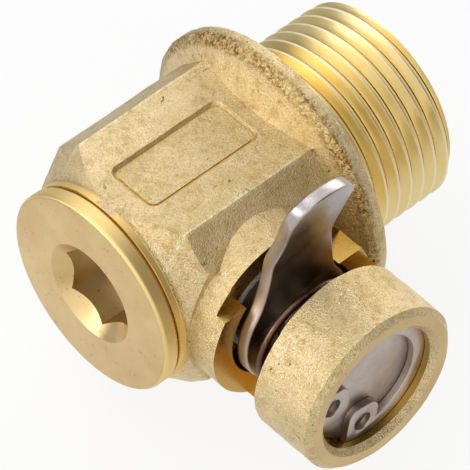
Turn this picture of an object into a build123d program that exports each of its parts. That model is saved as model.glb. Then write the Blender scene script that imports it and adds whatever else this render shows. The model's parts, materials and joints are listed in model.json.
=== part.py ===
from build123d import *
import os
from math import cos, radians, sin, sqrt, tan

# Oil drain valve, in mm. Origin: centre of the flange seat face on the thread axis.
# +Y runs up the thread into the sump, +X out along the stem and side boss, +Z to the panelled flat.

# Nipple and flange
THREAD_D = 27.0
NIPPLE_LEN = 16.8
NIPPLE_CHAMFER = 1.2
INLET_BORE_R = 6.5
FLANGE_R = 19.4
FLANGE_RIM = 2.2
FLANGE_ROOT = 4.5
RIM_BREAK = 0.3

# Square barrel
BARREL_AF = 27.0
BARREL_CORNER = 4.0
STEM_Y = -15.0
END_DEPTH = 12.9
END_RING_R = 13.4
END_RING_LEN = 0.85
END_CONE_DEG = 40.0
PANEL_W = 7.6
PANEL_L = 17.0
PANEL_R = 1.3
PANEL_DEPTH = 0.4

# Ball and seats
BALL_R = 8.5
PORT_R = 5.0
SEAT_GAP = 0.1
SEAT_ID_R = 5.2
SEAT_BACK = 9.2
SEAT_LIP = 4.2
SEAT_FIT = 0.05
CHAMBER_R = 9.1

# End plug
PLUG_R = 13.5
PLUG_DISC = 2.4
PLUG_BREAK = 0.55
GROOVE_BREAK = 0.35
PLUG_THREAD_R = 11.0
PLUG_NECK_R = 10.35
PLUG_NECK_LEN = 1.75
THREAD_FIT = 0.05
HEX_AF = 10.0
HEX_TURN = 39.5
HEX_SINK_R = 6.85
PLUG_SEAL_WIRE_R = 0.8
PLUG_SEAL_FIT = 0.08

# Side boss, slot and mouth
BOSS_R = 11.55
BOSS_LEN = 34.1
BOSS_BREAK = 0.45
BOSS_BORE_R = 8.6
BOSS_FLOOR_X = 15.0
MOUTH_BREAK = 0.4
LEVER_BACK_X = 17.9
LEVER_THICK = 1.8
NOTCH_DEPTH = 1.7
SWING_GAP = 0.15
STOP_RISE = 0.3
NOTCH_Z = 5.8
SLOT_CAP_X = 24.85
SLOT_TURN = 127.0
SLOT_FLOOR = 4.2
SLOT_REACH = 13.2

# Stem
STEM_R = 4.0
STEM_FIT = 0.05
STEM_COLLAR_R = 6.0
STEM_FLATS = 5.6
STEM_END_X = 25.5
TANG_THICK = 3.1
TANG_FIT = 0.05
TANG_DEPTH = 2.1
TANG_END_GAP = 0.1
WASHER_R = 6.6
WASHER_THICK = 0.3
STEM_SEAL_WIRE_R = 0.5
STEM_SEAL_FIT = 0.05
STEM_SEAL_SPACING = 2.4
FACE_GAP = 0.05

# Lever
LEVER_BASE_FIT = 0.4
LEVER_HOLE_FIT = 0.06
LEVER_ROOT_HALF = 5.9
LEVER_NECK_HALF = 4.6
LEVER_NECK_SHIFT = 0.7
LEVER_TIP_HALF = 5.2
LEVER_SHOULDER_Z = 24.0
LEVER_TIP_Z = 27.0
LEVER_BEND_Z = 11.7
LEVER_BEND_R = 6.0
LEVER_BEND_DEG = 20.0

# Spring, plate and ring
PLATE_THICK = 1.2
PLATE_FIT = 0.1
RING_FRONT_DEPTH = 1.65
RING_THICK = 1.0
RING_GROOVE_DEPTH = 0.5
RING_FIT = 0.05
RING_BAND = 2.2
RING_LUG_TURNS = (176.0, 259.0)
RING_LUG_W = 4.8
RING_LUG_IN_R = 3.5
RING_LUG_HOLE_R = 1.25
RING_LUG_HOLE_AT = 6.2
RING_LUG_FILLET = 1.8
SPRING_WIRE_R = 0.5
SPRING_WIRE_SIDES = 8
SPRING_TURNS = 3.5

# Places that follow from the sizes above
END_Y = STEM_Y - END_DEPTH
FACE_Y = END_Y - PLUG_DISC
SEAT_OUT_Y = STEM_Y - SEAT_BACK
SEAT_IN_Y = STEM_Y + SEAT_BACK
LEVER_BASE_R = BOSS_BORE_R - LEVER_BASE_FIT
LEVER_FRONT_X = LEVER_BACK_X + LEVER_THICK
SPRING_R = LEVER_BASE_R - SPRING_WIRE_R
SWING_X = LEVER_BACK_X - SWING_GAP
NOTCH_X = LEVER_BACK_X - NOTCH_DEPTH
STOP_X = LEVER_FRONT_X + STOP_RISE
RING_FRONT_X = BOSS_LEN - RING_FRONT_DEPTH
RING_BACK_X = RING_FRONT_X - RING_THICK
PLATE_BACK_X = RING_BACK_X - PLATE_THICK
TANG_X = BALL_R - TANG_DEPTH


def turned_y(points):
    """Solid turned about the thread axis from (radius, y) points."""
    return revolve(make_face(Polyline(*[(r, y, 0) for r, y in points], close=True)), Axis.Y)


def turned_x(points):
    """Solid turned about the stem axis from (x, radius) points."""
    profile = make_face(Polyline(*[(x, STEM_Y + r, 0) for x, r in points], close=True))
    return revolve(profile, Axis((0, STEM_Y, 0), (1, 0, 0)))


def rod_y(r, y0, y1):
    return turned_y([(0, y0), (r, y0), (r, y1), (0, y1)])


def rod_x(r, x0, x1):
    return turned_x([(x0, 0), (x1, 0), (x1, r), (x0, r)])


def stem_plane(x):
    """Drawing plane across the stem axis: its first axis is +Y, its second is +Z."""
    return Plane(origin=(x, STEM_Y, 0), x_dir=(0, 1, 0), z_dir=(1, 0, 0))


def across_stem(sketch, x0, x1):
    return extrude(stem_plane(x0) * sketch, x1 - x0)


def double_d(r, flats):
    return Circle(r) & Rectangle(flats, 2 * r + 1)


def make_body():
    thread_r = THREAD_D / 2
    nipple = turned_y([
        (0, 0), (thread_r, 0), (thread_r, NIPPLE_LEN - NIPPLE_CHAMFER),
        (thread_r - NIPPLE_CHAMFER, NIPPLE_LEN), (0, NIPPLE_LEN),
    ])
    flange = turned_y([
        (0, 0), (FLANGE_R - RIM_BREAK, 0), (FLANGE_R, -RIM_BREAK), (FLANGE_R, -FLANGE_RIM),
        (BARREL_AF / 2, -FLANGE_ROOT), (0, -FLANGE_ROOT),
    ])
    section = Rectangle(BARREL_AF, BARREL_AF)
    section = chamfer(section.vertices(), BARREL_CORNER)
    prism = extrude(Plane.XZ * section, -END_Y)
    cone_top = END_Y + END_RING_LEN + (BARREL_AF - END_RING_R) / tan(radians(END_CONE_DEG))
    envelope = turned_y([
        (0, 0), (BARREL_AF, 0), (BARREL_AF, cone_top), (END_RING_R, END_Y + END_RING_LEN),
        (END_RING_R, END_Y + GROOVE_BREAK), (END_RING_R - GROOVE_BREAK, END_Y), (0, END_Y),
    ])
    boss = turned_x([
        (0, 0), (BOSS_LEN, 0), (BOSS_LEN, BOSS_R - BOSS_BREAK), (BOSS_LEN - BOSS_BREAK, BOSS_R), (0, BOSS_R),
    ])
    body = (prism & envelope) + flange + nipple + boss

    panel = extrude(RectangleRounded(PANEL_W, PANEL_L, PANEL_R), PANEL_DEPTH)
    body -= Pos(0, STEM_Y, BARREL_AF / 2 - PANEL_DEPTH) * panel

    body -= rod_y(INLET_BORE_R, SEAT_IN_Y, NIPPLE_LEN)
    body -= rod_y(CHAMBER_R, END_Y, SEAT_IN_Y)
    body -= rod_y(PLUG_THREAD_R + THREAD_FIT, END_Y, SEAT_OUT_Y)
    body -= rod_y(PLUG_NECK_R + 2 * (PLUG_SEAL_WIRE_R + PLUG_SEAL_FIT), END_Y, END_Y + PLUG_NECK_LEN)

    body -= rod_x(STEM_R + STEM_FIT, TANG_X, BOSS_FLOOR_X)
    body -= turned_x([
        (BOSS_FLOOR_X, 0), (BOSS_LEN, 0), (BOSS_LEN, BOSS_BORE_R + MOUTH_BREAK),
        (BOSS_LEN - MOUTH_BREAK, BOSS_BORE_R), (BOSS_FLOOR_X, BOSS_BORE_R),
    ])
    body -= rod_x(BOSS_BORE_R + RING_GROOVE_DEPTH, RING_BACK_X - RING_FIT, RING_FRONT_X + RING_FIT)

    reach = Circle(SLOT_REACH)
    side = 2 * SLOT_REACH
    above_floor = Rot(0, 0, SLOT_TURN - 90) * Pos(0, side / 2 - SLOT_FLOOR) * Rectangle(side, side)
    above_notch = Pos(0, side / 2 + NOTCH_Z) * Rectangle(2 * side, side)
    swing_half = Pos(-side / 2, 0) * Rectangle(side, 2 * side)
    slot = reach & above_floor
    body -= across_stem(slot, STOP_X, SLOT_CAP_X)
    body -= across_stem(slot & (swing_half + above_notch), SWING_X, STOP_X)
    body -= across_stem(reach & above_notch, NOTCH_X, SWING_X)
    return body


def make_plug():
    plug = turned_y([
        (0, FACE_Y), (PLUG_R - PLUG_BREAK, FACE_Y), (PLUG_R, FACE_Y + PLUG_BREAK),
        (PLUG_R, END_Y - GROOVE_BREAK), (PLUG_R - GROOVE_BREAK, END_Y), (PLUG_NECK_R, END_Y),
        (PLUG_NECK_R, END_Y + PLUG_NECK_LEN), (PLUG_THREAD_R, END_Y + PLUG_NECK_LEN),
        (PLUG_THREAD_R, SEAT_OUT_Y), (0, SEAT_OUT_Y),
    ])
    hexagon = RegularPolygon(HEX_AF / 2, 6, major_radius=False, rotation=HEX_TURN)
    plug -= extrude(Plane.XZ.offset(-SEAT_OUT_Y) * hexagon, SEAT_OUT_Y - FACE_Y)
    plug -= turned_y([(0, FACE_Y), (HEX_SINK_R, FACE_Y), (0, FACE_Y + HEX_SINK_R)]) & rod_y(
        HEX_SINK_R, FACE_Y, FACE_Y + HEX_SINK_R - HEX_AF / 2)
    return plug


def make_plug_seal():
    middle = END_Y + PLUG_NECK_LEN / 2
    ring = Pos(PLUG_NECK_R + PLUG_SEAL_WIRE_R + PLUG_SEAL_FIT, middle) * Circle(PLUG_SEAL_WIRE_R)
    return revolve(ring, Axis.Y)


def make_seat(side):
    """Seat ring with a 45 degree face that the ball runs against; side is -1 at the outlet."""
    cone = (BALL_R + SEAT_GAP) * sqrt(2)
    outer = CHAMBER_R - SEAT_FIT
    return turned_y([(r, STEM_Y + side * y) for r, y in [
        (SEAT_ID_R, SEAT_BACK), (outer, SEAT_BACK), (outer, SEAT_LIP),
        (cone - SEAT_LIP, SEAT_LIP), (SEAT_ID_R, cone - SEAT_ID_R),
    ]])


def make_ball():
    ball = Pos(0, STEM_Y, 0) * Sphere(BALL_R)
    ball -= Pos(0, STEM_Y, 0) * Cylinder(PORT_R, 2 * BALL_R)
    slot = Box(TANG_DEPTH, 2 * BALL_R, TANG_THICK + 2 * TANG_FIT)
    return ball - Pos(TANG_X + TANG_DEPTH / 2, STEM_Y, 0) * slot


def seal_x(place):
    """Middle of a stem seal groove, counted from the middle of the stem hole."""
    return (CHAMBER_R + BOSS_FLOOR_X) / 2 + place * STEM_SEAL_SPACING / 2


def make_stem():
    wire = STEM_SEAL_WIRE_R
    groove_r = STEM_R - 2 * wire - STEM_SEAL_FIT
    washer_x = BOSS_FLOOR_X + WASHER_THICK + FACE_GAP
    shank_x = BALL_R + FACE_GAP
    stem = rod_x(STEM_R, shank_x, washer_x)
    stem += rod_x(STEM_COLLAR_R, washer_x, LEVER_BACK_X - FACE_GAP)
    stem += across_stem(double_d(STEM_R, STEM_FLATS), LEVER_BACK_X - FACE_GAP, STEM_END_X)
    stem += across_stem(Circle(STEM_R) & Rectangle(2 * STEM_R, TANG_THICK), TANG_X + TANG_END_GAP, shank_x)
    for place in (-1, 1):
        x = seal_x(place)
        collar = rod_x(STEM_R, x - wire - STEM_SEAL_FIT, x + wire + STEM_SEAL_FIT)
        stem -= collar - rod_x(groove_r, x - 2 * wire, x + 2 * wire)
    return stem


def make_stem_seal(place):
    centre_r = STEM_R - STEM_SEAL_WIRE_R
    ring = Pos(seal_x(place), STEM_Y + centre_r) * Circle(STEM_SEAL_WIRE_R)
    return revolve(ring, Axis((0, STEM_Y, 0), (1, 0, 0)))


def make_washer():
    face = Circle(WASHER_R) - Circle(STEM_R + STEM_FIT)
    return across_stem(face, BOSS_FLOOR_X, BOSS_FLOOR_X + WASHER_THICK)


def make_lever():
    root_z = sqrt(LEVER_BASE_R**2 - LEVER_ROOT_HALF**2)
    neck_z = (root_z + LEVER_SHOULDER_Z) / 2
    roots, corners, sides = [], [], []
    for way in (-1, 1):
        roots.append((way * LEVER_ROOT_HALF, root_z))
        corners.append((way * LEVER_TIP_HALF, LEVER_SHOULDER_Z))
        neck = (LEVER_NECK_SHIFT + way * LEVER_NECK_HALF, neck_z)
        sides.append(Spline(roots[-1], neck, corners[-1]))
    end = ThreePointArc(corners[0], (0, LEVER_TIP_Z), corners[1])
    blade = make_face(sides + [end, Line(*roots)])
    outline = blade + Circle(LEVER_BASE_R)
    outline -= double_d(STEM_R + LEVER_HOLE_FIT, STEM_FLATS + 2 * LEVER_HOLE_FIT)

    turn = radians(LEVER_BEND_DEG)
    half = radians(LEVER_BEND_DEG / 2)
    pivot = (LEVER_FRONT_X + LEVER_BEND_R, LEVER_BEND_Z)
    outer = LEVER_BEND_R + LEVER_THICK
    run = LEVER_TIP_Z
    back_mid = (pivot[0] - outer * cos(half), pivot[1] + outer * sin(half))
    back_end = (pivot[0] - outer * cos(turn), pivot[1] + outer * sin(turn))
    front_mid = (pivot[0] - LEVER_BEND_R * cos(half), pivot[1] + LEVER_BEND_R * sin(half))
    front_end = (pivot[0] - LEVER_BEND_R * cos(turn), pivot[1] + LEVER_BEND_R * sin(turn))
    back_tip = (back_end[0] + run * sin(turn), back_end[1] + run * cos(turn))
    front_tip = (front_end[0] + run * sin(turn), front_end[1] + run * cos(turn))
    foot = -LEVER_BASE_R - 1
    back_start = (LEVER_BACK_X, LEVER_BEND_Z)
    front_start = (LEVER_FRONT_X, LEVER_BEND_Z)
    strip = make_face([
        Line((LEVER_BACK_X, foot), back_start), ThreePointArc(back_start, back_mid, back_end),
        Line(back_end, back_tip), Line(back_tip, front_tip), Line(front_tip, front_end),
        ThreePointArc(front_end, front_mid, front_start), Line(front_start, (LEVER_FRONT_X, foot)),
        Line((LEVER_FRONT_X, foot), (LEVER_BACK_X, foot)),
    ])
    plate = extrude(Plane.XZ.offset(-STEM_Y) * strip, LEVER_BASE_R + 1, both=True)
    return across_stem(outline, LEVER_BACK_X - 1, LEVER_BACK_X + LEVER_TIP_Z) & plate


def make_spring():
    start = LEVER_FRONT_X + SPRING_WIRE_R + FACE_GAP
    height = PLATE_BACK_X - SPRING_WIRE_R - FACE_GAP - start
    path = Helix(height / SPRING_TURNS, height, SPRING_R, center=(start, STEM_Y, 0), direction=(1, 0, 0))
    wire = Plane(origin=path @ 0, z_dir=path % 0) * RegularPolygon(SPRING_WIRE_R, SPRING_WIRE_SIDES)
    return sweep(wire, path)


def make_plate():
    return rod_x(BOSS_BORE_R - PLATE_FIT, PLATE_BACK_X, RING_BACK_X)


def make_ring():
    outer = BOSS_BORE_R + RING_GROOVE_DEPTH - RING_FIT
    first, last = RING_LUG_TURNS
    spread = outer * 2
    face = Circle(outer) - Circle(outer - RING_BAND)
    gap = [(0, 0)]
    for turn in (first, (first + last) / 2, last):
        gap.append((spread * cos(radians(turn)), spread * sin(radians(turn))))
    face -= make_face(Polyline(*gap, close=True))
    length = outer - RING_LUG_IN_R
    for turn in RING_LUG_TURNS:
        lug = Rectangle(length, RING_LUG_W)
        lug = fillet(lug.vertices().sort_by(Axis.X)[:2], RING_LUG_FILLET)
        lug = Rot(0, 0, turn) * Pos(RING_LUG_IN_R + length / 2, 0) * lug
        face += lug & Circle(outer)
    for turn in RING_LUG_TURNS:
        at = radians(turn)
        face -= Pos(RING_LUG_HOLE_AT * cos(at), RING_LUG_HOLE_AT * sin(at)) * Circle(RING_LUG_HOLE_R)
    return across_stem(face, RING_BACK_X, RING_FRONT_X)


os.makedirs("parts", exist_ok=True)
export_step(make_body(), "parts/valve_body.step")
export_step(make_plug(), "parts/seat_retainer.step")
export_step(make_plug_seal(), "parts/retainer_seal.step")
export_step(make_seat(-1), "parts/outlet_seat.step")
export_step(make_seat(1), "parts/inlet_seat.step")
export_step(make_ball(), "parts/valve_ball.step")
export_step(make_stem(), "parts/stem.step")
export_step(make_stem_seal(-1), "parts/stem_seal_inner.step")
export_step(make_stem_seal(1), "parts/stem_seal_outer.step")
export_step(make_washer(), "parts/thrust_washer.step")
export_step(make_lever(), "parts/lever.step")
export_step(make_spring(), "parts/lever_spring.step")
export_step(make_plate(), "parts/spring_plate.step")
export_step(make_ring(), "parts/retaining_ring.step")
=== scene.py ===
import bmesh
import bpy
import json
import math
from mathutils import Matrix, Vector, noise


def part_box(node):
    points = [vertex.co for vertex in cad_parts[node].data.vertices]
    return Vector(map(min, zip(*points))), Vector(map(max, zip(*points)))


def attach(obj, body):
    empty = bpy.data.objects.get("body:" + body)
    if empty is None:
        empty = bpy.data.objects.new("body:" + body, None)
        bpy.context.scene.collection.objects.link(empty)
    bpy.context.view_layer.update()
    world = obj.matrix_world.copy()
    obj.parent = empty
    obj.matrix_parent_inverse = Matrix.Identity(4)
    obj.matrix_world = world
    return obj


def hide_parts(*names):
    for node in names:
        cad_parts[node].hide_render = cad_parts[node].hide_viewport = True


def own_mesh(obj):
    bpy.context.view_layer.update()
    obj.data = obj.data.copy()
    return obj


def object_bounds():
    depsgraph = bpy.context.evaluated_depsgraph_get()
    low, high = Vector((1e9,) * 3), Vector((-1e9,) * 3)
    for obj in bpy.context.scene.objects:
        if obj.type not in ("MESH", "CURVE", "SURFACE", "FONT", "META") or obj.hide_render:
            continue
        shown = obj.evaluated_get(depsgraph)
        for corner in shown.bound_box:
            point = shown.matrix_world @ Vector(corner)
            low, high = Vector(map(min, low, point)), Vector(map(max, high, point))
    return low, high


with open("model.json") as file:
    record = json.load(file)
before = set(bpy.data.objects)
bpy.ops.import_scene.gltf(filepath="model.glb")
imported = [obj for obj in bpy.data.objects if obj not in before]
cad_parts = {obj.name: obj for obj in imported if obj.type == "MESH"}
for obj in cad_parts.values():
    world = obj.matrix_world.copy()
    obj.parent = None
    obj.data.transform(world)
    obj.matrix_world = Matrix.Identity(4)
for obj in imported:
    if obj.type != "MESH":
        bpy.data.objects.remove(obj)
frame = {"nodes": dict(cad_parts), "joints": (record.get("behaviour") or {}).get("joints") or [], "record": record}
cad_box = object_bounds()

# Valve body, forging. The real body is one hot-forged brass blank: a square barrel with cut corners, a round
# flange and a side boss. The three are joined and remeshed, their edges are eased by a hair, and the skin
# gets the slow swells that the dies leave.

# Sizes are in mm in the row frame: +Y up the thread, +X along the stem, +Z to the panelled flat.
MM = 0.001
STEM_Y = frame["joints"][0]["pos_m"][1] / MM
BODY_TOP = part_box("valve_body")[1] / MM
PLUG_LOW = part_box("seat_retainer")[0] / MM
FLANGE_R = BODY_TOP.z
MOUTH_X = BODY_TOP.x
BARREL_HALF = 13.5
BARREL_CORNER = 4.0
BARREL_FLAT = BARREL_HALF - BARREL_CORNER
PLUG_HEAD = 2.4
END_Y = PLUG_LOW.y + PLUG_HEAD
BOSS_R = 11.55


def as_object(name, bm):
    """Links a finished bmesh as a plain object at the origin."""
    bmesh.ops.recalc_face_normals(bm, faces=bm.faces)
    mesh = bpy.data.meshes.new(name)
    bm.to_mesh(mesh)
    bm.free()
    piece = bpy.data.objects.new(name, mesh)
    bpy.context.scene.collection.objects.link(piece)
    return piece


def turned(name, profile, axis, segments=192):
    """Solid turned about the thread axis ("Y") or the stem axis ("X") from (radius, place) points.
    A profile that starts on the axis closes there; any other is a ring."""
    bm = bmesh.new()
    rings = []
    for radius, place in profile:
        ring = []
        for i in range(segments if radius else 1):
            angle = 2 * math.pi * i / segments
            u, v = radius * math.cos(angle), radius * math.sin(angle)
            spot = (u, place, v) if axis == "Y" else (place, STEM_Y + u, v)
            ring.append(bm.verts.new(Vector(spot) * MM))
        rings.append(ring)
    pairs = list(zip(rings, rings[1:]))
    if profile[0][0]:
        pairs.append((rings[-1], rings[0]))
    for low, high in pairs:
        for i in range(segments):
            j = i + 1
            corners = (low[i % len(low)], low[j % len(low)], high[j % len(high)], high[i % len(high)])
            bm.faces.new(dict.fromkeys(corners))
    return as_object(name, bm)


def prism(name, outline, axis, start, stop):
    """Solid drawn along X from (y from the stem, z) points, along Y from (x, z), or along Z from (x, y)."""
    bm = bmesh.new()
    ends = []
    for place in (start, stop):
        spots = {
            "X": [(place, STEM_Y + a, b) for a, b in outline],
            "Y": [(a, place, b) for a, b in outline],
            "Z": [(a, b, place) for a, b in outline],
        }[axis]
        ends.append([bm.verts.new(Vector(spot) * MM) for spot in spots])
    first, last = ends
    for i in range(len(outline)):
        j = (i + 1) % len(outline)
        bm.faces.new((first[i], first[j], last[j], last[i]))
    bm.faces.new(first)
    bm.faces.new(last)
    return as_object(name, bm)


def arc(radius, start, stop, count, centre=(0, 0)):
    """Points on an arc, from one angle to another in degrees, both ends included."""
    turns = [math.radians(start + (stop - start) * i / count) for i in range(count + 1)]
    return [(centre[0] + radius * math.cos(t), centre[1] + radius * math.sin(t)) for t in turns]


def settle(piece):
    """Turns a piece's modifiers into its plain mesh."""
    graph = bpy.context.evaluated_depsgraph_get()
    mesh = bpy.data.meshes.new_from_object(piece.evaluated_get(graph))
    piece.modifiers.clear()
    piece.data = mesh


def carve(piece, tool, how="DIFFERENCE"):
    """Boolean of two closed solids. The tool's faces keep their own finish, and the tool goes."""
    step = piece.modifiers.new(how, "BOOLEAN")
    step.operation = how
    step.solver = "MANIFOLD"
    step.object = tool
    settle(piece)
    bpy.data.objects.remove(tool)


corners = []
for sx, sz in ((1, 1), (-1, 1), (-1, -1), (1, -1)):
    pair = [(sx * BARREL_HALF, sz * BARREL_FLAT), (sx * BARREL_FLAT, sz * BARREL_HALF)]
    corners += pair if sx * sz > 0 else pair[::-1]
barrel_top = -1
body = prism("forged_body", corners, "Y", END_Y - 1, barrel_top)

# The barrel's end is coned at 40 degrees down to the ring that the plug closes. Every face that is machined
# later keeps some stock, and clear_r lies outside the whole body.
clear_r, cone_top = 30, 5
stock = 0.3
ring_r, ring_end = 13.4, END_Y + 0.85
cone = math.tan(math.radians(40))
carve(body, turned("end_cone", [
    (0, cone_top), (clear_r, cone_top), (clear_r, ring_end + (clear_r - ring_r) / cone),
    (ring_r + stock, ring_end + stock / cone), (ring_r + stock, END_Y - stock), (0, END_Y - stock)],
    "Y"), "INTERSECT")
rim_break, rim_high, rim_low = 0.3, -0.5, -1.8
foot_inset, foot_y, hub_y = 0.7, -2.5, -4.5
carve(body, turned("flange", [
    (0, stock), (FLANGE_R - rim_break, stock), (FLANGE_R, rim_high), (FLANGE_R, rim_low),
    (FLANGE_R - foot_inset, foot_y), (BARREL_HALF, hub_y), (0, hub_y)], "Y"), "UNION")
mouth_stock, cap_break = 0.5, 0.75
carve(body, turned("boss", [
    (0, 0), (BOSS_R, 0), (BOSS_R, MOUTH_X - cap_break),
    (BOSS_R - cap_break - mouth_stock, MOUTH_X + mouth_stock), (0, MOUTH_X + mouth_stock)], "X"), "UNION")
skin_mesh = body.modifiers.new("skin_mesh", "REMESH")
skin_mesh.mode = "SHARP"
skin_mesh.octree_depth = 8
skin_mesh.scale = 0.82
skin_mesh.sharpness = 1.0
eased_edges = body.modifiers.new("eased_edges", "SMOOTH")
eased_edges.factor = 0.4
eased_edges.iterations = 1
settle(body)

# Depth in mm and waves per mm of the swells all over, and of the bites that trimming left on the flange's
# rim. The die's parting left a facet on the boss, between two angles around the stem.
swells = ((0.08, 0.16), (0.06, 0.4), (0.014, 1.3))
trim_bites = ((0.08, 0.5), (0.05, 1.4))
rim_inside, rim_outside, rim_below, rim_above = FLANGE_R - 1.0, FLANGE_R - 0.2, -4, -3
facet_depth, facet_length, facet_inside, facet_outside = 0.22, 6, BOSS_R - 1, BOSS_R - 0.4
facet_start, facet_full, facet_fade, facet_end = 129, 133, 150, 182


def rise(value, start, stop):
    """Smooth step from 0 at start to 1 at stop."""
    t = min(1.0, max(0.0, (value - start) / (stop - start)))
    return t * t * (3 - 2 * t)


def forged_skin(spot):
    """How far the skin stands off its plain form: the swells, the rough trimmed rim, and the boss's facet."""
    swell = sum(depth * noise.noise(spot * waves) for depth, waves in swells)
    rim = rise(math.hypot(spot.x, spot.z), rim_inside, rim_outside) * rise(spot.y, rim_below, rim_above)
    swell += rim * sum(depth * noise.noise(spot * waves) for depth, waves in trim_bites)
    around = math.degrees(math.atan2(spot.z, spot.y - STEM_Y)) % 360
    facet = rise(around, facet_start, facet_full) * rise(around, facet_end, facet_fade)
    facet *= rise(spot.x, MOUTH_X, MOUTH_X - facet_length)
    facet *= rise(math.hypot(spot.y - STEM_Y, spot.z), facet_inside, facet_outside)
    return swell - facet_depth * facet


outwards = [vertex.normal.copy() for vertex in body.data.vertices]
for vertex, outward in zip(body.data.vertices, outwards):
    vertex.co += outward * forged_skin(vertex.co / MM) * MM

# Valve body, brass finishes. The blank is sand-blasted brass, and each tool leaves its own bright brass on
# it: the turned thread, the cut bores and slot, the faced mouth, the worn crests and the satin rims.
COORDS = "ShaderNodeTexCoord"
NOISE = "ShaderNodeTexNoise"
STRETCH = "ShaderNodeMapping"
RAMP = "ShaderNodeValToRGB"
RANGE = "ShaderNodeMapRange"
VECTOR_MATH = "ShaderNodeVectorMath"
MIX = "ShaderNodeMix"
BUMP = "ShaderNodeBump"
SHADER = "Principled BSDF"

# A Mix node's colour sockets share their names with others, so they go by number.
MULTIPLY = {"data_type": "RGBA", "blend_type": "MULTIPLY"}
MIXED, FIRST, SECOND = 2, 6, 7


def srgb(code):
    """Linear colour of a hex sRGB code."""
    parts = [int(code[i:i + 2], 16) / 255 for i in (1, 3, 5)]
    return [c / 12.92 if c <= 0.04045 else ((c + 0.055) / 1.055) ** 2.4 for c in parts] + [1.0]


def add_node(tree, kind, out, inputs, stops=(), **settings):
    """Adds a node, or takes the one of that name that a new tree has, and gives the output that is used.
    An input is a value or a socket to link. A ramp's stops are hex colours or plain grey values."""
    node = tree.nodes.get(kind) or tree.nodes.new(kind)
    for name, value in settings.items():
        setattr(node, name, value)
    if stops:
        marks = node.color_ramp.elements
        while len(marks) < len(stops):
            marks.new(1.0)
        for mark, (position, colour) in zip(marks, stops):
            mark.position = position
            mark.color = srgb(colour) if isinstance(colour, str) else (colour, colour, colour, 1)
    for name, value in inputs.items():
        if isinstance(value, bpy.types.NodeSocket):
            tree.links.new(value, node.inputs[name])
        else:
            node.inputs[name].default_value = value
    return node.outputs[out]


def new_finish(name):
    """New material and its node tree."""
    material = bpy.data.materials.new(name)
    material.use_nodes = True
    return material, material.node_tree


# Forged brass, sand-blasted: pale, rough and speckled, with slow stains, dark pits in places, a painted highlight
# along the edges of the flats and brown grit left in the trimmed rim. The blasted grain is under 0.1 mm in
# reality, too fine to show, so it is drawn at 0.13 and 0.2 mm.
forged_brass, tree = new_finish("forged_brass")
place = add_node(tree, COORDS, "Object", {})
spots = {}
for name, size, detail, rough in (
        ("grain", 0.2, 2, 0.6), ("sand", 0.13, 2, 0.55), ("mottle", 1.3, 4, 0.6), ("stain", 5.0, 5, 0.65),
        ("pits", 0.6, 2, 0.5), ("pitted", 6.0, 2, 0.55), ("rubbed_edge_highlight", 0.5, 3, 0.55), ("trimmed", 5.0, 2, 0.55),
        ("grit", 0.45, 3, 0.7)):
    spots[name] = add_node(tree, NOISE, "Fac", {
        "Vector": place, "Scale": 1 / (size * MM), "Detail": detail, "Roughness": rough})
pitted = add_node(tree, RAMP, "Color", {"Fac": spots["pitted"]}, [(0.45, 0.0), (0.62, 1.0)])
skin = add_node(tree, RAMP, "Color", {"Fac": spots["stain"]}, [
    (0.3, "#ddc892"), (0.5, "#ead4a4"), (0.7, "#f3dcb2")])
for strength, pattern, stops in (
        (0.5, "grain", [(0.3, "#a8946a"), (0.45, "#eae2d0"), (0.58, "#ffffff")]),
        (0.55, "mottle", [(0.32, "#d8c9a6"), (0.5, "#ffffff")]),
        (pitted, "pits", [(0.26, "#4d3a1c"), (0.32, "#ffffff")])):
    shade = add_node(tree, RAMP, "Color", {"Fac": spots[pattern]}, stops)
    skin = add_node(tree, MIX, MIXED, {"Factor": strength, FIRST: skin, SECOND: shade}, **MULTIPLY)

# A band is the axes that its distance is measured on, and the mm at which it starts and is full. The first
# three meet on the edges of the flats, where they hold the painted highlight, and the others on the flange's rim.
edge_bands = (
    ((1, 0, 0), BARREL_FLAT - 0.35, BARREL_FLAT - 0.05), ((1, 0, 0), BARREL_FLAT + 0.35, BARREL_FLAT + 0.05),
    ((0, 1, 0), 4.4, 5.0))
rim_bands = (((1, 0, 1), 17.7, 18.6), ((0, 1, 0), 0.9, 1.6), ((0, 1, 0), 3.9, 2.7))
masks = []
for pattern, stops, bands in (("rubbed_edge_highlight", [(0.35, 0.0), (0.55, 0.8)], edge_bands),
                              ("trimmed", [(0.38, 0.45), (0.58, 1.0)], rim_bands)):
    mask = add_node(tree, RAMP, "Color", {"Fac": spots[pattern]}, stops)
    for axes, start, stop in bands:
        along = add_node(tree, VECTOR_MATH, "Vector", {0: place, 1: axes}, operation="MULTIPLY")
        away = add_node(tree, VECTOR_MATH, "Value", {0: along}, operation="LENGTH")
        band = add_node(tree, RANGE, "Result", {"Value": away, "From Min": start * MM, "From Max": stop * MM},
                        interpolation_type="SMOOTHSTEP")
        mask = add_node(tree, MIX, MIXED, {"Factor": 1.0, FIRST: mask, SECOND: band}, **MULTIPLY)
    masks.append(mask)
rubbed_edge_highlight, trimmed = masks
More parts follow.
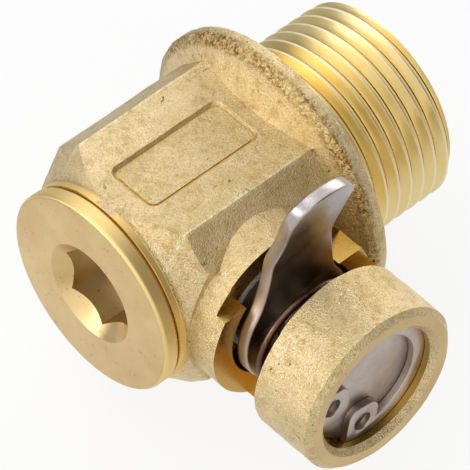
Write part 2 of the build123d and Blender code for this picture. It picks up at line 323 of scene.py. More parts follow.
# Painted highlight: the edges of the flats are screened lighter where the mask lies.
skin = add_node(tree, MIX, MIXED, {"Factor": rubbed_edge_highlight, FIRST: skin, SECOND: skin}, data_type="RGBA",
                blend_type="SCREEN")
grit = add_node(tree, RAMP, "Color", {"Fac": spots["grit"]}, [
    (0.38, "#857049"), (0.48, "#c9b588"), (0.58, "#f6eedc")])
skin = add_node(tree, MIX, MIXED, {"Factor": trimmed, FIRST: skin, SECOND: grit}, **MULTIPLY)
relief = add_node(tree, BUMP, "Normal", {"Height": spots["pits"], "Strength": 0.5, "Distance": 0.12 * MM})
for pattern, strength, depth in (("grain", 0.9, 0.2), ("sand", 0.7, 0.08)):
    relief = add_node(tree, BUMP, "Normal", {
        "Normal": relief, "Height": spots[pattern], "Strength": strength, "Distance": depth * MM})
gloss = add_node(tree, RAMP, "Color", {"Fac": spots["grain"]}, [(0.3, 0.42), (0.7, 0.25)])
add_node(tree, SHADER, "BSDF", {"Base Color": skin, "Metallic": 1.0, "Roughness": gloss, "Normal": relief})

# Turned brass, cut on a lathe: golden and even, with a slow haze. The tool's rings are too fine to show, so
# they are drawn as faint specks of 0.25 mm.
turned_brass, tree = new_finish("turned_brass")
place = add_node(tree, COORDS, "Object", {})
haze, specks = [add_node(tree, NOISE, "Fac", {
    "Vector": place, "Scale": 1 / (size * MM), "Detail": detail, "Roughness": 0.55})
    for size, detail in ((5.0, 3), (0.25, 2))]
gold = add_node(tree, RAMP, "Color", {"Fac": haze}, [(0.3, "#f1d792"), (0.7, "#f8e3a6")])
gloss = add_node(tree, RAMP, "Color", {"Fac": haze}, [(0.3, 0.3), (0.7, 0.4)])
relief = add_node(tree, BUMP, "Normal", {"Height": specks, "Strength": 0.06, "Distance": 0.015 * MM})
add_node(tree, SHADER, "BSDF", {"Base Color": gold, "Metallic": 1.0, "Roughness": gloss, "Normal": relief})

# Cut brass, bored and milled: deeper gold and shiny, with passes of the cutter 0.6 mm apart that run along
# the thread's axis. Real passes are finer, and are drawn this coarse so that they show.
cut_brass, tree = new_finish("cut_brass")
place = add_node(tree, COORDS, "Object", {})
place = add_node(tree, STRETCH, "Vector", {"Vector": place, "Scale": (1, 0.4, 1)})
passes = add_node(tree, NOISE, "Fac", {
    "Vector": place, "Scale": 1 / (0.6 * MM), "Detail": 3, "Roughness": 0.6})
gold = add_node(tree, RAMP, "Color", {"Fac": passes}, [(0.3, "#c69f4f"), (0.7, "#d0aa5c")])
gloss = add_node(tree, RAMP, "Color", {"Fac": passes}, [(0.3, 0.22), (0.7, 0.36)])
relief = add_node(tree, BUMP, "Normal", {"Height": passes, "Strength": 0.12, "Distance": 0.02 * MM})
add_node(tree, SHADER, "BSDF", {"Base Color": gold, "Metallic": 1.0, "Roughness": gloss, "Normal": relief})

# Faced brass, cut flat across: tan and hazy, with a few dull specks and the facing tool's faint rings. The
# rings are drawn 0.69 mm apart, because the tool's own feed is too fine to show. A wave texture of scale 1
# repeats every pi / 10.
faced_brass, tree = new_finish("faced_brass")
place = add_node(tree, COORDS, "Object", {})
haze, specks = [add_node(tree, NOISE, "Fac", {
    "Vector": place, "Scale": 1 / (size * MM), "Detail": detail, "Roughness": 0.55})
    for size, detail in ((6.0, 3), (0.6, 2))]
rings = add_node(tree, "ShaderNodeTexWave", "Fac", {
    "Vector": place, "Scale": math.pi / 10 / (0.69 * MM), "Distortion": 1.2}, wave_type="RINGS",
    rings_direction="Y")
tan = add_node(tree, RAMP, "Color", {"Fac": haze}, [(0.3, "#d2b27a"), (0.7, "#e0c692")])
dull = add_node(tree, RAMP, "Color", {"Fac": specks}, [(0.26, "#8a6a38"), (0.33, "#ffffff")])
tan = add_node(tree, MIX, MIXED, {"Factor": 0.5, FIRST: tan, SECOND: dull}, **MULTIPLY)
gloss = add_node(tree, RAMP, "Color", {"Fac": haze}, [(0.3, 0.3), (0.7, 0.4)])
relief = add_node(tree, BUMP, "Normal", {"Height": rings, "Strength": 0.05, "Distance": 0.01 * MM})
relief = add_node(tree, BUMP, "Normal", {
    "Normal": relief, "Height": specks, "Strength": 0.05, "Distance": 0.02 * MM})
add_node(tree, SHADER, "BSDF", {"Base Color": tan, "Metallic": 1.0, "Roughness": gloss, "Normal": relief})

# Pale brass on the thread's crests as a painted highlight, and satin brass on the rims, left by fine emery.
# Both are even and half dull, so they catch light from every side.
crest_highlight_brass, tree = new_finish("crest_highlight_brass")
add_node(tree, SHADER, "BSDF", {"Base Color": srgb("#fff2d0"), "Metallic": 1.0, "Roughness": 0.5})
satin_brass, tree = new_finish("satin_brass")
add_node(tree, SHADER, "BSDF", {"Base Color": srgb("#f4d792"), "Metallic": 1.0, "Roughness": 0.5})

# Valve body, machining. The blank is then turned, bored and milled. Each cutter here carries the finish that
# it leaves: the panel, seat face, end ring, mouth, thread, bores and the lever's slot.
BRASSES = (forged_brass, turned_brass, cut_brass, faced_brass, crest_highlight_brass, satin_brass)
FORGED, TURNED, CUT, FACED, CREST_HIGHLIGHT, SATIN = range(len(BRASSES))


def finish_as(piece, index):
    """Gives a brass solid all the brass finishes and shows one of them."""
    piece.data.materials.clear()
    for brass in BRASSES:
        piece.data.materials.append(brass)
    for face in piece.data.polygons:
        face.material_index = index


def machine(tool, finish, how="DIFFERENCE"):
    """Cuts the body with a tool that leaves its own finish."""
    finish_as(tool, finish)
    carve(body, tool, how)


finish_as(body, FORGED)

# The bare panel on the flat: a shallow pocket with sloping walls, and a floor that leaves a crease all round.
panel_x, panel_y, panel_r, panel_depth = 3.65, 8.35, 1.2, 0.36
crease, crease_depth, draft, pocket_height = 0.2, 0.14, 0.75, 1


def panel(name, inset, low, high):
    """Solid with the panel's rounded outline, a little inside it."""
    outline = []
    for sx, sy, start in ((1, 1, 0), (-1, 1, 90), (-1, -1, 180), (1, -1, 270)):
        centre = (sx * (panel_x - panel_r), STEM_Y + sy * (panel_y - panel_r))
        outline += arc(panel_r - inset, start, start + 90, 10, centre)
    return prism(name, outline, "Z", low, high)


pocket_floor = BARREL_HALF - panel_depth - crease_depth
pocket = panel("pocket", 0, pocket_floor, pocket_floor + pocket_height)
for vertex in pocket.data.vertices:
    if vertex.co.z > BARREL_HALF * MM:
        vertex.co.x *= 1 + draft / panel_x
        vertex.co.y = STEM_Y * MM + (vertex.co.y - STEM_Y * MM) * (1 + draft / panel_y)
finish_as(pocket, FORGED)
# The pocket's floor is darker cut brass. It shows only in the crease all round, as painted shade.
for face in pocket.data.polygons:
    if face.normal.z < -0.9:
        face.material_index = CUT
carve(body, pocket)
panel_floor = panel("panel_floor", crease, pocket_floor - pocket_height, BARREL_HALF - panel_depth)
machine(panel_floor, FORGED, "UNION")

# Facing cuts, each run a little past what it cuts. The end's corner is broken, so it shows as a line beside
# the plug.
overrun = 1
end_break = 0.1
machine(turned("seat_facing", [(0, 0), (clear_r, 0), (clear_r, overrun), (0, overrun)], "Y"), TURNED)
machine(turned("end_ring", [
    (ring_r, ring_end), (clear_r, ring_end), (clear_r, END_Y - overrun), (ring_r, END_Y - overrun)],
    "Y"), SATIN)
# The end face is darker cut brass, as painted shade where it shows in the groove beside the plug.
machine(turned("end_facing", [
    (0, END_Y), (ring_r - end_break, END_Y), (ring_r + end_break, END_Y + 2 * end_break),
    (ring_r + end_break, END_Y - overrun), (0, END_Y - overrun)], "Y"), CUT)
machine(turned("mouth_facing", [
    (0, MOUTH_X), (clear_r, MOUTH_X), (clear_r, MOUTH_X + overrun), (0, MOUTH_X + overrun)], "X"), FACED)

# The M27 x 2 thread, one turn after another on a grid of profile points. A profile point is a share of the
# pitch and a radius. Roots get the cutter's dark finish as painted shade, apart from faces turned to the flange,
# and crests get a painted highlight.
THREAD_R = frame["record"]["mounts"][0]["dims"]["r_mm"]
NIPPLE_END = BODY_TOP.y
pitch, turn_steps, turns = 2.0, 144, 12
root_r = THREAD_R - 1.0
first_crest = -2.58
crest_break, root_break, highlight_crest_band, shaded_root_band = 0.06, 0.07, 0.05, 0.3
profile = [(0.0, THREAD_R - crest_break), (0.03, THREAD_R), (0.15, THREAD_R), (0.18, THREAD_R - crest_break),
           (0.52, root_r + root_break), (0.57, root_r), (0.62, root_r), (0.67, root_r + root_break)]
rows = len(profile)
bm = bmesh.new()
grid = []
for i in range(turn_steps):
    angle = 2 * math.pi * i / turn_steps
    column = []
    for j in range(rows * turns + 1):
        share, radius = profile[j % rows]
        along = first_crest + pitch * (j // rows + share - i / turn_steps)
        column.append(bm.verts.new(Vector((radius * math.cos(angle), along, radius * math.sin(angle))) * MM))
    grid.append(column)
for here, there in zip(grid, grid[1:]):
    for a in range(rows * turns):
        bm.faces.new((here[a], here[a + 1], there[a + 1], there[a]))
for a in range(rows, rows * turns):
    bm.faces.new((grid[-1][a], grid[-1][a + 1], grid[0][a + 1 - rows], grid[0][a - rows]))
low_edge = [column[0] for column in grid] + grid[-1][1:rows + 1]
high_edge = [column[-1] for column in grid[::-1]] + grid[0][-2:-rows - 2:-1]
for edge, along in ((low_edge, first_crest - pitch), (high_edge, first_crest + pitch * turns)):
    hub = bm.verts.new(Vector((0, along, 0)) * MM)
    for a, b in zip(edge, edge[1:] + edge[:1]):
        bm.faces.new((a, b, hub))
thread = as_object("thread", bm)
nipple_r = THREAD_R + 0.2
lead_in, lead_length, thread_start = 0.8, 0.5, -1.2
carve(thread, turned("nipple", [
    (0, thread_start), (nipple_r, thread_start), (nipple_r, NIPPLE_END - lead_length),
    (nipple_r - lead_in, NIPPLE_END), (0, NIPPLE_END)], "Y"), "INTERSECT")
finish_as(thread, TURNED)
for face in thread.data.polygons:
    radius = math.hypot(face.center.x, face.center.z) / MM
    # Roots: the darker cut brass as painted shade.
    if radius < root_r + shaded_root_band and -0.5 < face.normal.y < 0.9:
        face.material_index = CUT
    # Crests: pale brass as a painted highlight.
    if radius > THREAD_R - highlight_crest_band:
        face.material_index = CREST_HIGHLIGHT
carve(body, thread, "UNION")

# Bores. The oil way runs down the nipple into the ball's chamber, which the plug closes. The stem's hole
# leads from the chamber to the boss's bore, which has a groove for the retaining ring and a broken edge.
ball_reach = 9.2
seat_in, seat_out = STEM_Y + ball_reach, STEM_Y - ball_reach
way_r, way_break = 6.5, 0.4
machine(turned("oil_way", [
    (0, seat_in - overrun), (way_r, seat_in - overrun), (way_r, NIPPLE_END - way_break),
    (way_r + 2 * way_break, NIPPLE_END + way_break), (way_r + 2 * way_break, NIPPLE_END + overrun),
    (0, NIPPLE_END + overrun)], "Y"), TURNED)
seal_r, seal_deep, chamber_r, seat_r = 12.11, 1.75, 11.05, 9.1
machine(turned("chamber", [
    (0, END_Y - overrun), (seal_r, END_Y - overrun), (seal_r, END_Y + seal_deep),
    (chamber_r, END_Y + seal_deep), (chamber_r, seat_out), (seat_r, seat_out), (seat_r, seat_in),
    (0, seat_in)], "Y"), CUT)
bore_floor, bore_r = 15.0, 8.6
stem_r, stem_start = 4.05, 6.4
machine(turned("stem_hole", [
    (0, stem_start), (stem_r, stem_start), (stem_r, bore_floor + overrun), (0, bore_floor + overrun)],
    "X", 96), CUT)
ring_front, ring_back, ring_groove = MOUTH_X - 1.6, MOUTH_X - 2.7, 0.5
machine(turned("boss_bore", [
    (0, bore_floor), (bore_r, bore_floor), (bore_r, ring_back), (bore_r + ring_groove, ring_back),
    (bore_r + ring_groove, ring_front), (bore_r, ring_front), (bore_r, MOUTH_X + overrun),
    (0, MOUTH_X + overrun)], "X"), CUT)
mouth_break = 0.75
machine(turned("mouth_break", [
    (0, MOUTH_X - mouth_break), (bore_r, MOUTH_X - mouth_break), (bore_r + mouth_break, MOUTH_X),
    (bore_r + mouth_break, MOUTH_X + overrun), (0, MOUTH_X + overrun)], "X"), FORGED)

# The lever's slot is milled through the boss at an angle, with a land that the lever swings over and a notch
# that it rests in when the valve is shut.
LEVER_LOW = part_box("lever")[0] / MM
stop_x, cap_x, swing_x, notch_x = LEVER_LOW.x + 2.1, 24.85, LEVER_LOW.x - 0.15, LEVER_LOW.x - 1.7
overlap = 0.2
reach, notch_z, slot_turn, slot_floor = 13.2, 5.8, 127.0, 4.2
spread = math.degrees(math.acos(-slot_floor / reach))
slot = arc(reach, slot_turn - spread, slot_turn + spread, 96)
lowest = -slot_floor / math.sin(math.radians(slot_turn))
swing = arc(reach, 90, slot_turn + spread, 64) + [(0, lowest)]
notch_edge = math.degrees(math.asin(notch_z / reach))
notch = arc(reach, notch_edge, 180 - notch_edge, 64)
machine(prism("slot", slot, "X", stop_x, cap_x), CUT)
machine(prism("swing_room", swing, "X", swing_x, stop_x + overlap), CUT)
machine(prism("notch", notch, "X", notch_x, stop_x + overlap), CUT)
BRASS_EDGE = math.radians(32)
body.data.set_sharp_from_angle(angle=BRASS_EDGE)
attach(body, "body")
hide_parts("valve_body")

# End plug. A brass disc turned and faced on a lathe, with a rounded satin rim, a groove behind it and a
# countersunk hexagon that the oil drains through. It screws into the barrel's end over its seal ring.
plug_r, face_y = (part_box("seat_retainer")[1] / MM).x, PLUG_LOW.y
rim_round, rim_band, groove_wide, groove_in = 0.55, 0.3, 0.5, 0.55
neck_r, shank_r = 10.35, 11.0
hex_flats, hex_turn = 10, 39.5
sink_r, sink_deep, sink_over = 6.85, 2.35, 0.5
rim = arc(rim_round, -90, 0, 6, (plug_r - rim_round, face_y + rim_round))
plug = turned("end_plug", [(0, face_y)] + rim + [
    (plug_r, END_Y - groove_wide), (plug_r - groove_in, END_Y), (neck_r, END_Y),
    (neck_r, END_Y + seal_deep), (shank_r, END_Y + seal_deep), (shank_r, seat_out), (0, seat_out)], "Y", 256)
hexagon = arc(hex_flats / math.sqrt(3), hex_turn, hex_turn + 300, 5)
carve(plug, prism("hexagon", hexagon, "Y", face_y - overrun, seat_out + overrun))
carve(plug, turned("countersink", [
    (0, face_y - sink_over), (sink_r + sink_over, face_y - sink_over),
    (sink_r - sink_deep, face_y + sink_deep), (0, face_y + sink_deep)], "Y"))
plug.data.set_sharp_from_angle(angle=BRASS_EDGE)
plug.data.materials.clear()
plug.data.materials.append(faced_brass)
plug.data.materials.append(satin_brass)
for face in plug.data.polygons:
    if math.hypot(face.center.x, face.center.z) > (plug_r - rim_band) * MM:
        face.material_index = 1
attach(plug, "body")
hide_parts("seat_retainer")

# Ball, stem and the soft rings. They sit inside the barrel and the boss: a chromed ball on a turned steel
# stem, moulded PTFE seats and washer, and nitrile rubber seals. Their solids are right as they are, so they
# only get their finishes.
for finish, nodes, size, detail, rough, stretch, colours, metallic, roughness in (
        # Polished chrome: a cool mirror with a faint cloud.
        ("polished_chrome", ("valve_ball",), 3.0, 3, 0.55, (1, 1, 1), ("#b9b9bc", "#cdccd0"), 1.0, 0.16),
        # Turned steel: dull grey with tool marks 0.15 mm apart, coarser than real so that they show.
        ("turned_steel", ("stem",), 0.15, 2, 0.5, (1, 0.1, 0.1), ("#6d6862", "#8b857e"), 1.0, 0.38),
        # Moulded PTFE: waxy white, nearly even.
        ("moulded_ptfe", ("outlet_seat", "inlet_seat", "thrust_washer"),
         2.0, 3, 0.55, (1, 1, 1), ("#e4e0d6", "#efece4"), 0.0, 0.5),
        # Moulded nitrile rubber: black and matt.
        ("moulded_nitrile", ("retainer_seal", "stem_seal_inner", "stem_seal_outer"),
         0.8, 3, 0.55, (1, 1, 1), ("#131313", "#1f1f1f"), 0.0, 0.6)):
    material, tree = new_finish(finish)
    place = add_node(tree, COORDS, "Object", {})
    place = add_node(tree, STRETCH, "Vector", {"Vector": place, "Scale": stretch})
    cloud = add_node(tree, NOISE, "Fac", {
        "Vector": place, "Scale": 1 / (size * MM), "Detail": detail, "Roughness": rough})
    colour = add_node(tree, RAMP, "Color", {"Fac": cloud}, [(0.3, colours[0]), (0.7, colours[1])])
    add_node(tree, SHADER, "BSDF", {"Base Color": colour, "Metallic": metallic, "Roughness": roughness})
    for node in nodes:
        mesh = frame["nodes"][node].data
        mesh.materials.clear()
        mesh.materials.append(material)

# Lever. A stamped steel plate on the stem's flats, with a round base in the bore and a blade that bends
# outwards above the boss. It is tumbled after stamping, so its edges are bevelled and its tip is uneven.
LEVER_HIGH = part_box("lever")[1] / MM
back_x, thick = LEVER_LOW.x, 1.8
tip_z, shoulder_z, bend_z, bend_r, bend = LEVER_HIGH.z, 24.0, 11.7, 6.0, math.radians(20)
base_r, root_half, neck_half, neck_shift, tip_half = LEVER_HIGH.y - STEM_Y, 5.9, 4.6, 0.7, 5.2
root_z = math.sqrt(base_r**2 - root_half**2)


def blade_edge(z, way):
    """Where one edge of the blade lies at a height: through root, neck and shoulder on one smooth curve."""
    middle = (root_z + shoulder_z) / 2
    t = (z - middle) / (shoulder_z - middle)
    root, neck, tip = way * root_half, neck_shift + way * neck_half, way * tip_half
    return neck + (tip - root) / 2 * t + ((tip + root) / 2 - neck) * t * t


def lever_x(z, front):
    """Where the plate's back or front face lies at a height."""
    radius = bend_r if front else bend_r + thick
    pivot = back_x + thick + bend_r
    climb = max(0.0, z - bend_z)
    arc_climb = radius * math.sin(bend)
    if climb < arc_climb:
        return pivot - math.sqrt(radius**2 - climb**2)
    return pivot - radius * math.cos(bend) + (climb - arc_climb) * math.tan(bend)


# The outline runs round the base, up one edge, over the uneven crown and down the other edge, and is then
# smoothed. It is drawn as a flat plate until lever_x sets its two faces.
sweep = math.degrees(math.atan2(root_z, root_half))
blade_steps, crown_steps, crown_join, smoothings = 36, 24, 4, 6
levels = [root_z + (shoulder_z - root_z) * i / blade_steps for i in range(1, blade_steps - 2)]
crown_shift, crown_low, crown_rise, crown_square, crown_tilt = 0.35, 4.6, 4.9, 0.8, 0.2
crown = []
for i in range(1, crown_steps):
    turn = math.pi * i / crown_steps
    across = tip_half * math.cos(turn)
    up = tip_z - crown_low + crown_rise * math.sin(turn) ** crown_square - crown_tilt * across
    crown.append((crown_shift + across, up))
outline = arc(base_r, 180 - sweep, 360 + sweep, 60) + [(blade_edge(z, 1), z) for z in levels[:-crown_join]]
outline += crown + [(blade_edge(z, -1), z) for z in levels[::-1]]
for smoothing in range(smoothings):
    around = zip(outline[-1:] + outline[:-1], outline, outline[1:] + outline[:1])
    outline = [((a[0] + 2 * b[0] + c[0]) / 4, (a[1] + 2 * b[1] + c[1]) / 4) for a, b, c in around]
flat_thick = 1
lever = prism("bent_lever", outline, "X", 0, flat_thick)
flats, eye_r = 2.86, 4.06
swing_in = math.degrees(math.acos(flats / eye_r))
eye = arc(eye_r, swing_in, 180 - swing_in, 24) + arc(eye_r, 180 + swing_in, 360 - swing_in, 24)
carve(lever, prism("eye", eye, "X", -overrun, flat_thick + overrun))

# The flat plate is cut across where it bends, so that the bend has rows of points to turn on.
bend_rows = 8
bm = bmesh.new()
bm.from_mesh(lever.data)
for i in range(bend_rows + 1):
    level = (bend_z + (bend_r + thick) * math.sin(bend) * i / bend_rows) * MM
    bmesh.ops.bisect_plane(bm, geom=bm.verts[:] + bm.edges[:] + bm.faces[:], plane_co=(0, 0, level),
                           plane_no=(0, 0, 1))
for vertex in bm.verts:
    vertex.co.x = lever_x(vertex.co.z / MM, vertex.co.x > flat_thick / 2 * MM) * MM
bmesh.ops.recalc_face_normals(bm, faces=bm.faces)
bm.to_mesh(lever.data)
bm.free()


def tumble(piece, width, segments, corner, sharp):
    """Bevels edges that turn by more than corner, by a width in mm, then shades those over sharp as creases.
    Both angles are in degrees."""
    bevel = piece.modifiers.new("tumbled", "BEVEL")
    bevel.width = width * MM
    bevel.segments = segments
    bevel.limit_method = "ANGLE"
    bevel.angle_limit = math.radians(corner)
    settle(piece)
    piece.data.set_sharp_from_angle(angle=math.radians(sharp))


tumble(lever, width=0.28, segments=3, corner=50, sharp=40)

# Tumbled steel: grey with a satin grain along the blade, and browner low down as a painted reflection of the brass
# boss.
# The grain is drawn 0.25 mm wide, coarser than tumbling leaves it, so that it shows.
tumbled_steel, tree = new_finish("tumbled_steel")
place = add_node(tree, COORDS, "Object", {})
along = add_node(tree, STRETCH, "Vector", {"Vector": place, "Scale": (1, 1, 0.18)})
grain, patch = [add_node(tree, NOISE, "Fac", {
    "Vector": where, "Scale": 1 / (size * MM), "Detail": detail, "Roughness": rough})
    for where, size, detail, rough in ((along, 0.25, 4, 0.6), (place, 4.0, 3, 0.55))]
height = add_node(tree, "ShaderNodeSeparateXYZ", "Z", {"Vector": place})
# Painted reflection: the plate is browner below 9 mm and bare steel above 19 mm.
above_brass_reflection = add_node(tree, RANGE, "Result", {"Value": height, "From Min": 9 * MM, "From Max": 19 * MM})
bare = add_node(tree, RAMP, "Color", {"Fac": grain}, [(0.3, "#a59e9a"), (0.7, "#c2bbb7")])
brown = add_node(tree, RAMP, "Color", {"Fac": patch}, [(0.3, "#a8978a"), (0.7, "#c4b4a7")])
steel = add_node(tree, MIX, MIXED, {"Factor": above_brass_reflection, FIRST: brown, SECOND: bare}, data_type="RGBA")
gloss = add_node(tree, RAMP, "Color", {"Fac": patch}, [(0.3, 0.28), (0.7, 0.42)])
relief = add_node(tree, BUMP, "Normal", {"Height": grain, "Strength": 0.15, "Distance": 0.02 * MM})
add_node(tree, SHADER, "BSDF", {"Base Color": steel, "Metallic": 1.0, "Roughness": gloss, "Normal": relief})
lever.data.materials.clear()
lever.data.materials.append(tumbled_steel)
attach(lever, "lever")
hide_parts("lever")

# Lever spring. A coil wound from hard-drawn steel wire. It sits between the lever's base and the plate in the
# mouth of the boss, and presses the lever into its notch.
spring_low, spring_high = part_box("lever_spring")
wire_r = 0.5 * MM
coil_sizes = {
    "wire_radius": wire_r,
    "coil_radius": (spring_high.z - spring_low.z) / 2 - wire_r,
    "coil_length": spring_high.x - spring_low.x - 2 * wire_r,
    "coil_turns": 3.5,
}
coil_steps, wire_sides, coil_start = 48, 12, math.radians(99)

# Drawn steel: dark brown from its heat treatment, with faint marks of the die, drawn at 0.4 mm so that they
# show.
drawn_steel, tree = new_finish("drawn_steel")
place = add_node(tree, COORDS, "Object", {})
drawn = add_node(tree, NOISE, "Fac", {
    "Vector": place, "Scale": 1 / (0.4 * MM), "Detail": 3, "Roughness": 0.55})
brown = add_node(tree, RAMP, "Color", {"Fac": drawn}, [(0.3, "#5a4438"), (0.7, "#7c6455")])
relief = add_node(tree, BUMP, "Normal", {"Height": drawn, "Strength": 0.1, "Distance": 0.02 * MM})
add_node(tree, SHADER, "BSDF", {"Base Color": brown, "Metallic": 1.0, "Roughness": 0.32, "Normal": relief})

# The winding: a helix about Z is turned to its start, laid along the stem, and given a round section.
winding = bpy.data.node_groups.new("spring_winding", "GeometryNodeTree")
winding.interface.new_socket("spring", in_out="OUTPUT", socket_type="NodeSocketGeometry")
for name in coil_sizes:
    winding.interface.new_socket(name, in_out="INPUT", socket_type="NodeSocketFloat")
given = {name: add_node(winding, "NodeGroupInput", name, {}) for name in coil_sizes}
coil = add_node(winding, "GeometryNodeCurveSpiral", "Curve", {
    "Resolution": coil_steps, "Rotations": given["coil_turns"], "Height": given["coil_length"],
    "Start Radius": given["coil_radius"], "End Radius": given["coil_radius"]})
for turn, shift in (((0, 0, -coil_start), (0, 0, 0)),
                    ((0, -math.pi / 2, math.pi), (spring_low.x + wire_r, STEM_Y * MM, 0))):
    coil = add_node(winding, "GeometryNodeTransform", "Geometry", {
        "Geometry": coil, "Rotation": turn, "Translation": shift})
round_wire = add_node(winding, "GeometryNodeCurvePrimitiveCircle", "Curve", {
    "Resolution": wire_sides, "Radius": given["wire_radius"]})
coil = add_node(winding, "GeometryNodeCurveToMesh", "Mesh", {
    "Curve": coil, "Profile Curve": round_wire, "Fill Caps": True})
coil = add_node(winding, "GeometryNodeRealizeInstances", "Geometry", {"Geometry": coil})
coil = add_node(winding, "GeometryNodeSetMaterial", "Geometry", {"Geometry": coil, "Material": drawn_steel})
winding.links.new(coil, winding.nodes.new("NodeGroupOutput").inputs["spring"])
spring = bpy.data.objects.new("coil_spring", bpy.data.meshes.new("coil_spring"))
bpy.context.scene.collection.objects.link(spring)
wound = spring.modifiers.new("wound", "NODES")
wound.node_group = winding
for item in winding.interface.items_tree:
    if item.in_out == "INPUT":
        wound[item.identifier] = coil_sizes[item.name]
settle(spring)
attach(spring, "body")
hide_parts("lever_spring")
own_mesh(spring)

# Spring plate and retaining ring. Both are punched from rolled steel sheet and tumbled. The plate closes the
# boss behind the spring, and the ring snaps into its groove in the mouth.

# Rolled steel: warm grey and satin, with faint lines along the rolling, drawn 0.3 mm wide so that they show.
rolled_steel, tree = new_finish("rolled_steel")
place = add_node(tree, COORDS, "Object", {})
along = add_node(tree, STRETCH, "Vector", {"Vector": place, "Scale": (1, 0.25, 1)})
rolled, patch = [add_node(tree, NOISE, "Fac", {
    "Vector": where, "Scale": 1 / (size * MM), "Detail": detail, "Roughness": rough})
    for where, size, detail, rough in ((along, 0.3, 4, 0.6), (place, 5.0, 3, 0.55))]
grey = add_node(tree, RAMP, "Color", {"Fac": patch}, [(0.3, "#bfb3aa"), (0.7, "#d6cac1")])
lines = add_node(tree, RAMP, "Color", {"Fac": rolled}, [(0.3, 0.6), (0.6, 1.0)])
grey = add_node(tree, MIX, MIXED, {"Factor": 0.35, FIRST: grey, SECOND: lines}, **MULTIPLY)
gloss = add_node(tree, RAMP, "Color", {"Fac": patch}, [(0.3, 0.34), (0.7, 0.46)])
relief = add_node(tree, BUMP, "Normal", {"Height": rolled, "Strength": 0.12, "Distance": 0.02 * MM})
add_node(tree, SHADER, "BSDF", {"Base Color": grey, "Metallic": 1.0, "Roughness": gloss, "Normal": relief})
for node, edge in (("spring_plate", 0.1), ("retaining_ring", 0.12)):
    bm = bmesh.new()
    bm.from_mesh(frame["nodes"][node].data)
    bmesh.ops.remove_doubles(bm, verts=bm.verts, dist=0.001 * MM)
    bmesh.ops.dissolve_limit(bm, angle_limit=math.radians(1), verts=bm.verts, edges=bm.edges)
    piece = as_object("tumbled_" + node, bm)
    tumble(piece, width=edge, segments=2, corner=40, sharp=35)
    piece.data.materials.clear()
    piece.data.materials.append(rolled_steel)
    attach(piece, "body")
    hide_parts(node)

# Stage, camera. It stands where the photograph's did, with a long lens, and is rolled by a hair. The focal
# length is in pixels of the photograph.
eye_point = Vector((328.2, -310.6, 510.6)) * MM
aim_point = Vector((4.8, -11.3, 0)) * MM
camera_roll = math.radians(0.42)
sensor, photo_px, focal_px = 36.0, 470, 5641.3
camera = bpy.data.objects.new("camera", bpy.data.cameras.new("camera"))
bpy.context.scene.collection.objects.link(camera)
bpy.context.scene.camera = camera
facing = (aim_point - eye_point).to_track_quat("-Z", "Y").to_matrix().to_4x4()
camera.matrix_world = Matrix.Translation(eye_point) @ facing @ Matrix.Rotation(camera_roll, 4, "Z")
camera.data.sensor_width = sensor
camera.data.lens = sensor * focal_px / photo_px

# Stage, floor. A matt white sheet just under the valve, which takes its shadow. The camera sees it glow
# white, and reflections see it darker far from the boss, so that the metal has a dark side.
MATH = "ShaderNodeMath"
LIGHT_PATH = "ShaderNodeLightPath"
floor_half, floor_gap, glow_share = 4, 0.2 * MM, 0.86
dark_x, light_x = -90 * MM, 60 * MM
floor_z = cad_box[0][2]
bm = bmesh.new()
for x, y in ((-1, -1), (1, -1), (1, 1), (-1, 1)):
    bm.verts.new((floor_half * x, floor_half * y, floor_z - floor_gap))
bm.faces.new(bm.verts)
floor = as_object("floor", bm)
white_floor, tree = new_finish("white_floor")
matt = add_node(tree, SHADER, "BSDF", {"Base Color": srgb("#eaeaea"), "Roughness": 0.9})
camera_ray = add_node(tree, LIGHT_PATH, "Is Camera Ray", {})
glossy_ray = add_node(tree, LIGHT_PATH, "Is Glossy Ray", {})
seen = add_node(tree, MATH, "Value", {0: camera_ray, 1: glossy_ray}, operation="MAXIMUM")
share = add_node(tree, MATH, "Value", {0: seen, 1: glow_share}, operation="MULTIPLY")
place = add_node(tree, COORDS, "Object", {})
across = add_node(tree, "ShaderNodeSeparateXYZ", "X", {"Vector": place})
fade = add_node(tree, RANGE, "Result", {"Value": across, "From Min": dark_x, "From Max": light_x})
pool = add_node(tree, RAMP, "Color", {"Fac": fade}, [(0.0, 0.35), (0.45, 1.0), (0.6, 0.9), (1.0, 0.75)])
level = add_node(tree, MATH, "Value", {0: pool, 1: camera_ray}, operation="MAXIMUM")
glow = add_node(tree, "ShaderNodeEmission", "Emission", {"Strength": level})
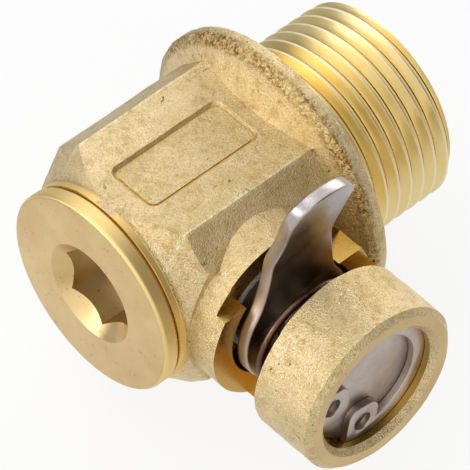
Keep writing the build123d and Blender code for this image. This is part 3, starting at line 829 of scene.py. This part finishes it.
blend = add_node(tree, "ShaderNodeMixShader", "Shader", {"Fac": share, 1: matt, 2: glow})
tree.links.new(blend, tree.nodes["Material Output"].inputs["Surface"])
floor.data.materials.append(white_floor)

# Stage, light. A white room with two dark gaps, which the metal reflects as its dark sides, and three soft
# lamps. The camera sees the room as plain white.
world = bpy.data.worlds.new("studio")
world.use_nodes = True
bpy.context.scene.world = world
tree = world.node_tree
direction = add_node(tree, COORDS, "Generated", {})
room = srgb("#ffffff")
for gap, stops in (((0.64, 0.5, 0.58), ((0.3, 1.0), (0.8, 0.95), (0.88, 0.45), (0.95, 0.02))),
                   ((-0.98, -0.15, -0.05), ((0.3, 1.0), (0.78, 1.0), (0.88, 0.5), (0.96, 0.15)))):
    towards = add_node(tree, VECTOR_MATH, "Value", {0: direction, 1: gap}, operation="DOT_PRODUCT")
    near = add_node(tree, RANGE, "Result", {"Value": towards, "From Min": -1.0, "From Max": 1.0})
    shade = add_node(tree, RAMP, "Color", {"Fac": near}, stops)
    room = add_node(tree, MIX, MIXED, {"Factor": 1.0, FIRST: room, SECOND: shade}, **MULTIPLY)
camera_ray = add_node(tree, LIGHT_PATH, "Is Camera Ray", {})
backdrop = add_node(tree, MIX, MIXED, {
    "Factor": camera_ray, FIRST: room, SECOND: srgb("#ffffff")}, data_type="RGBA")
add_node(tree, "Background", "Background", {"Color": backdrop, "Strength": 1.25})

# A lamp has its place and size in metres and its power in watts, and points at the origin.
for name, spot, size, power in (("overhead", (-0.5, -0.1, 0.8), 0.5, 0.8),
                                ("front_key", (-0.45, -0.8, 0.2), 0.4, 2.3),
                                ("back_rim", (-0.45, 0.8, 0.25), 0.4, 1.5)):
    lamp = bpy.data.objects.new(name, bpy.data.lights.new(name, "AREA"))
    lamp.data.size = size
    lamp.data.energy = power
    facing = (-Vector(spot)).to_track_quat("-Z", "Y").to_matrix().to_4x4()
    lamp.matrix_world = Matrix.Translation(spot) @ facing
    bpy.context.scene.collection.objects.link(lamp)

bpy.context.scene.view_settings.view_transform = "Standard"
